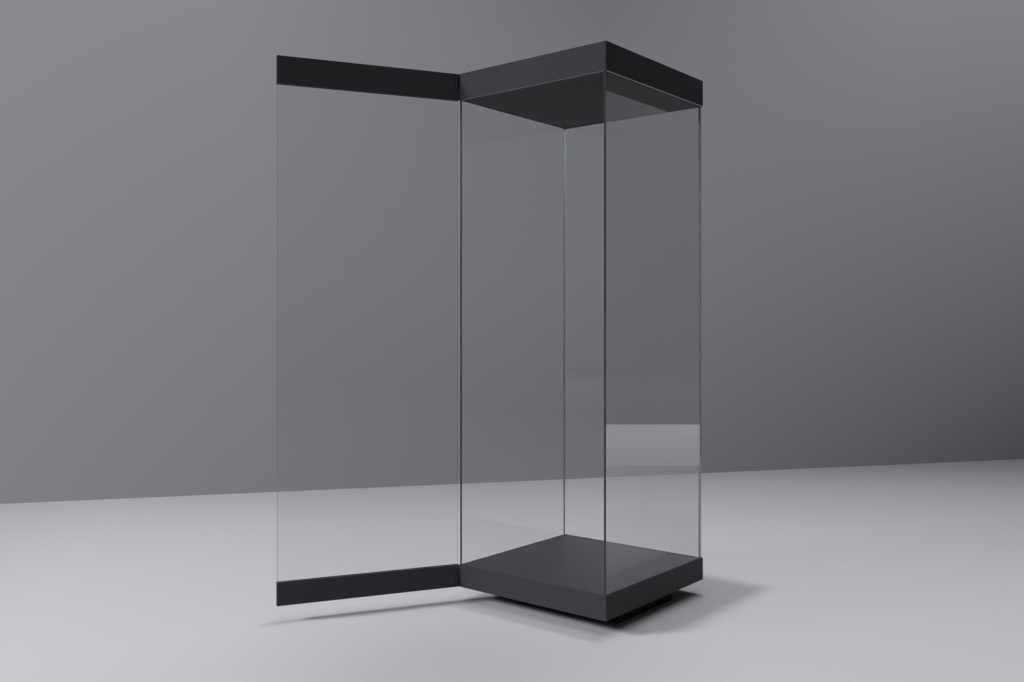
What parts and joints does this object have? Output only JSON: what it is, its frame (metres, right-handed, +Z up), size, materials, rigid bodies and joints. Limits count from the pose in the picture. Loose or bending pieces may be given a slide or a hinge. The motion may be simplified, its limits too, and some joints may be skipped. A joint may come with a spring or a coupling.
{
  "type": "glass display case",
  "caption": "Free-standing square display case with glass on all sides, a dark steel base and canopy, a recessed plinth and a full-height hinged glass door.",
  "frame": {"origin": "on the floor, under the middle of the case", "axes": "+Z up, -Y out of the doorway, +X to the right of someone facing the doorway; the door hangs on the -X side and is stored open"},
  "size_m": [0.9089, 1.147, 1.8],
  "materials": {
    "coated_steel": "satin powder coat, dark grey",
    "black_steel": "matt black powder coat",
    "frame_steel": "primed steel, matt grey",
    "zinc_steel": "bright zinc plate",
    "clear_glass": "clear tempered glass with polished edges",
    "clear_seal": "clear silicone adhesive",
    "black_rubber": "matt black rubber",
    "bright_trim": "bright anodised trim, satin",
    "bearing_plastic": "black bearing plastic"
  },
  "bodies": {
    "case": {"plinth_skirt": "black_steel", "floor_plate": "black_steel", "plinth_bearers": "black_steel", "foot_lock_nuts": "zinc_steel", "base_shell": "coated_steel", "base_bolts": "zinc_steel", "base_frame": "frame_steel", "counterweight": "frame_steel", "counterweight_screws": "zinc_steel", "deck_ribs": "frame_steel", "front_deck_angle": "frame_steel", "deck_panel": "coated_steel", "base_glazing_angles": "zinc_steel", "base_glazing_gaskets": "black_rubber", "base_setting_blocks": "black_rubber", "left_glass": "clear_glass", "right_glass": "clear_glass", "rear_glass": "clear_glass", "corner_bonds": "clear_seal", "canopy_bead": "bright_trim", "canopy_shell": "coated_steel", "canopy_frame": "frame_steel", "canopy_glazing_angles": "zinc_steel", "canopy_glazing_gaskets": "black_rubber", "canopy_setting_blocks": "black_rubber", "ceiling_panel": "coated_steel", "canopy_lid": "coated_steel", "lid_screws": "zinc_steel", "keeper_plates": "zinc_steel", "lower_fixed_hinge": "coated_steel", "upper_fixed_hinge": "coated_steel", "lower_hinge_pin": "zinc_steel", "upper_hinge_pin": "zinc_steel", "hinge_washers": "bearing_plastic", "hinge_screws": "zinc_steel"},
    "door": {"lower_door_hinge": "coated_steel", "upper_door_hinge": "coated_steel", "door_glass": "clear_glass", "door_glass_gaskets": "black_rubber", "top_rail_shell": "coated_steel", "top_rail_cover": "coated_steel", "top_clamp_outer": "zinc_steel", "top_clamp_inner": "zinc_steel", "bottom_rail_shell": "coated_steel", "bottom_rail_cover": "coated_steel", "bottom_clamp_outer": "zinc_steel", "bottom_clamp_inner": "zinc_steel", "clamp_screws_set": "zinc_steel", "door_magnets": "zinc_steel"},
    "front_left_foot": {"foot_front_left": "zinc_steel"},
    "front_right_foot": {"foot_front_right": "zinc_steel"},
    "rear_left_foot": {"foot_rear_left": "zinc_steel"},
    "rear_right_foot": {"foot_rear_right": "zinc_steel"}
  },
  "joints": [
    {"name": "door_hinge", "type": "hinge", "parent": "case", "child": "door", "pos_m": [-0.3057, -0.3105, 0.05], "axis": [0, 0, 1], "range_deg": [-1.4, 118.6]},
    {"name": "front_left_foot_slide", "type": "slide", "parent": "case", "child": "front_left_foot", "axis": [0, 0, -1], "range_m": [0, 0.008]},
    {"name": "front_right_foot_slide", "type": "slide", "parent": "case", "child": "front_right_foot", "axis": [0, 0, -1], "range_m": [0, 0.008]},
    {"name": "rear_left_foot_slide", "type": "slide", "parent": "case", "child": "rear_left_foot", "axis": [0, 0, -1], "range_m": [0, 0.008]},
    {"name": "rear_right_foot_slide", "type": "slide", "parent": "case", "child": "rear_right_foot", "axis": [0, 0, -1], "range_m": [0, 0.008]}
  ]
}
